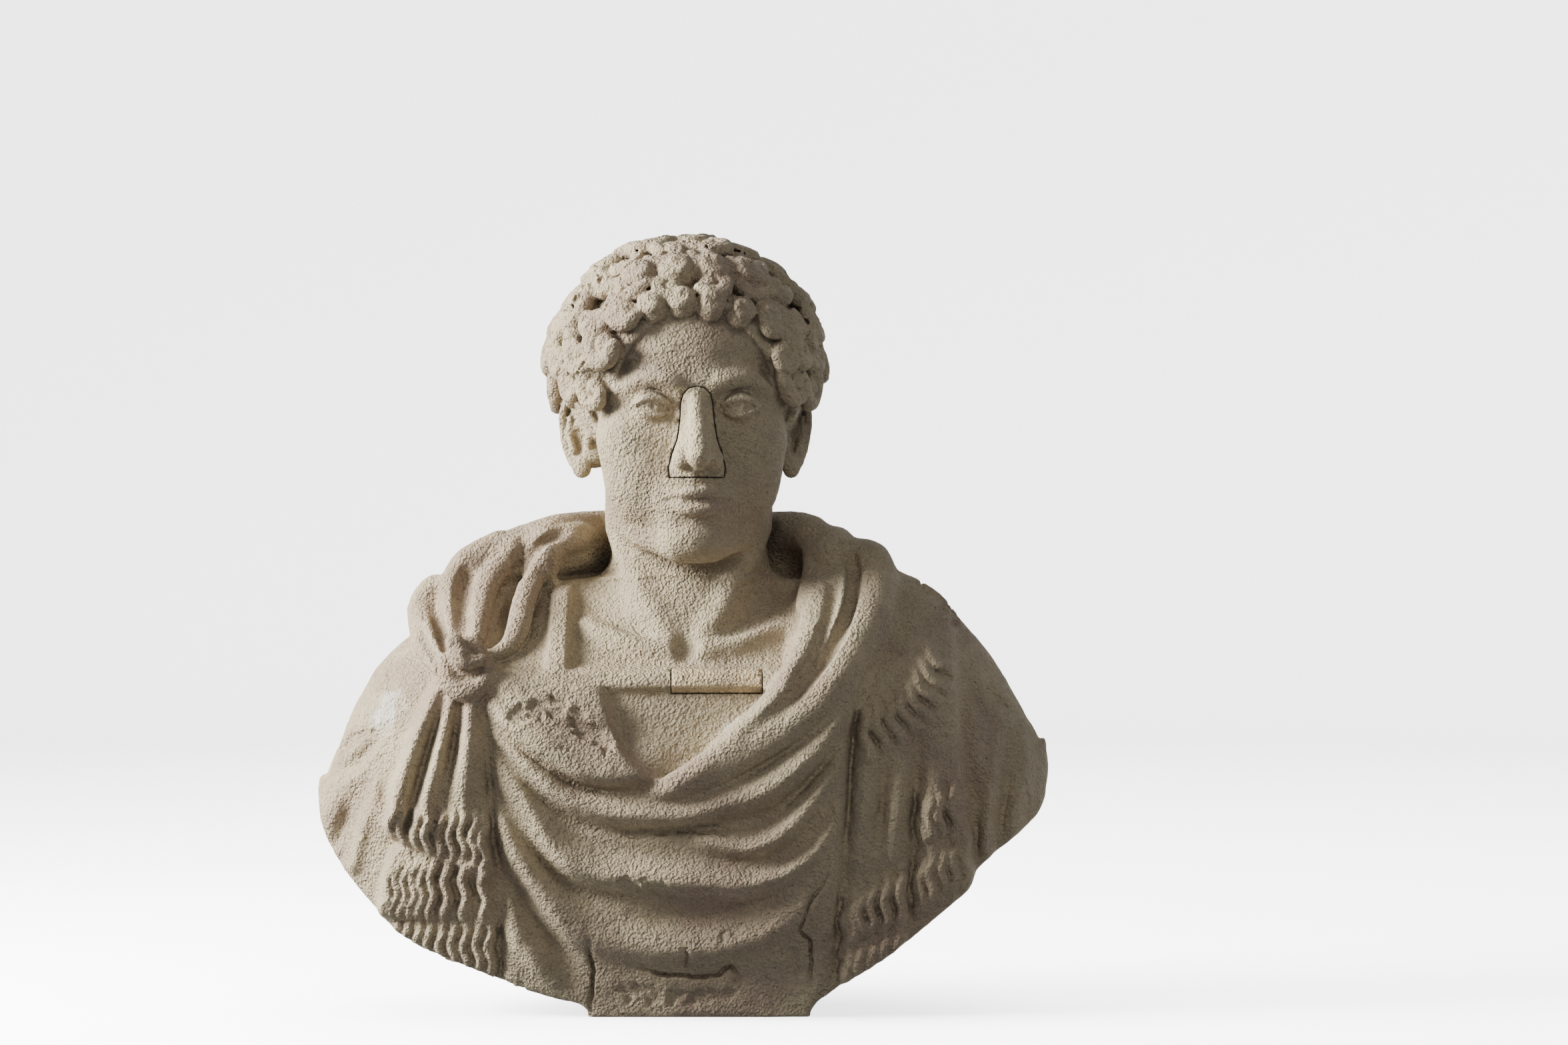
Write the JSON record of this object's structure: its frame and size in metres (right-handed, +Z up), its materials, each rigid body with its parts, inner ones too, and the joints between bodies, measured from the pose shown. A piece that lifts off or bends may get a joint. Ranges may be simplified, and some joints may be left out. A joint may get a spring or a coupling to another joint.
{
  "type": "carved stone bust",
  "caption": "Draped male bust carved in sandstone, with a let-in nose and a let-in length of neckline border, standing on its own flat foot.",
  "frame": {"origin": "on the underside of the flat foot, below the middle of the neck", "axes": "+Z up through the head; +X towards the viewer's right as the face is seen; -Y is where the chest faces"},
  "size_m": [0.5688, 0.2755, 0.5993],
  "materials": {
    "stone": "weathered sandstone, greenish beige with dark dirt in the carving",
    "nose_stone": "finer and yellower sandstone of a repair",
    "border_stone": "yellower sandstone of a repair"
  },
  "bodies": {
    "root": {"bust": "stone", "nose_repair": "nose_stone", "neckline_repair": "border_stone"}
  },
  "joints": []
}
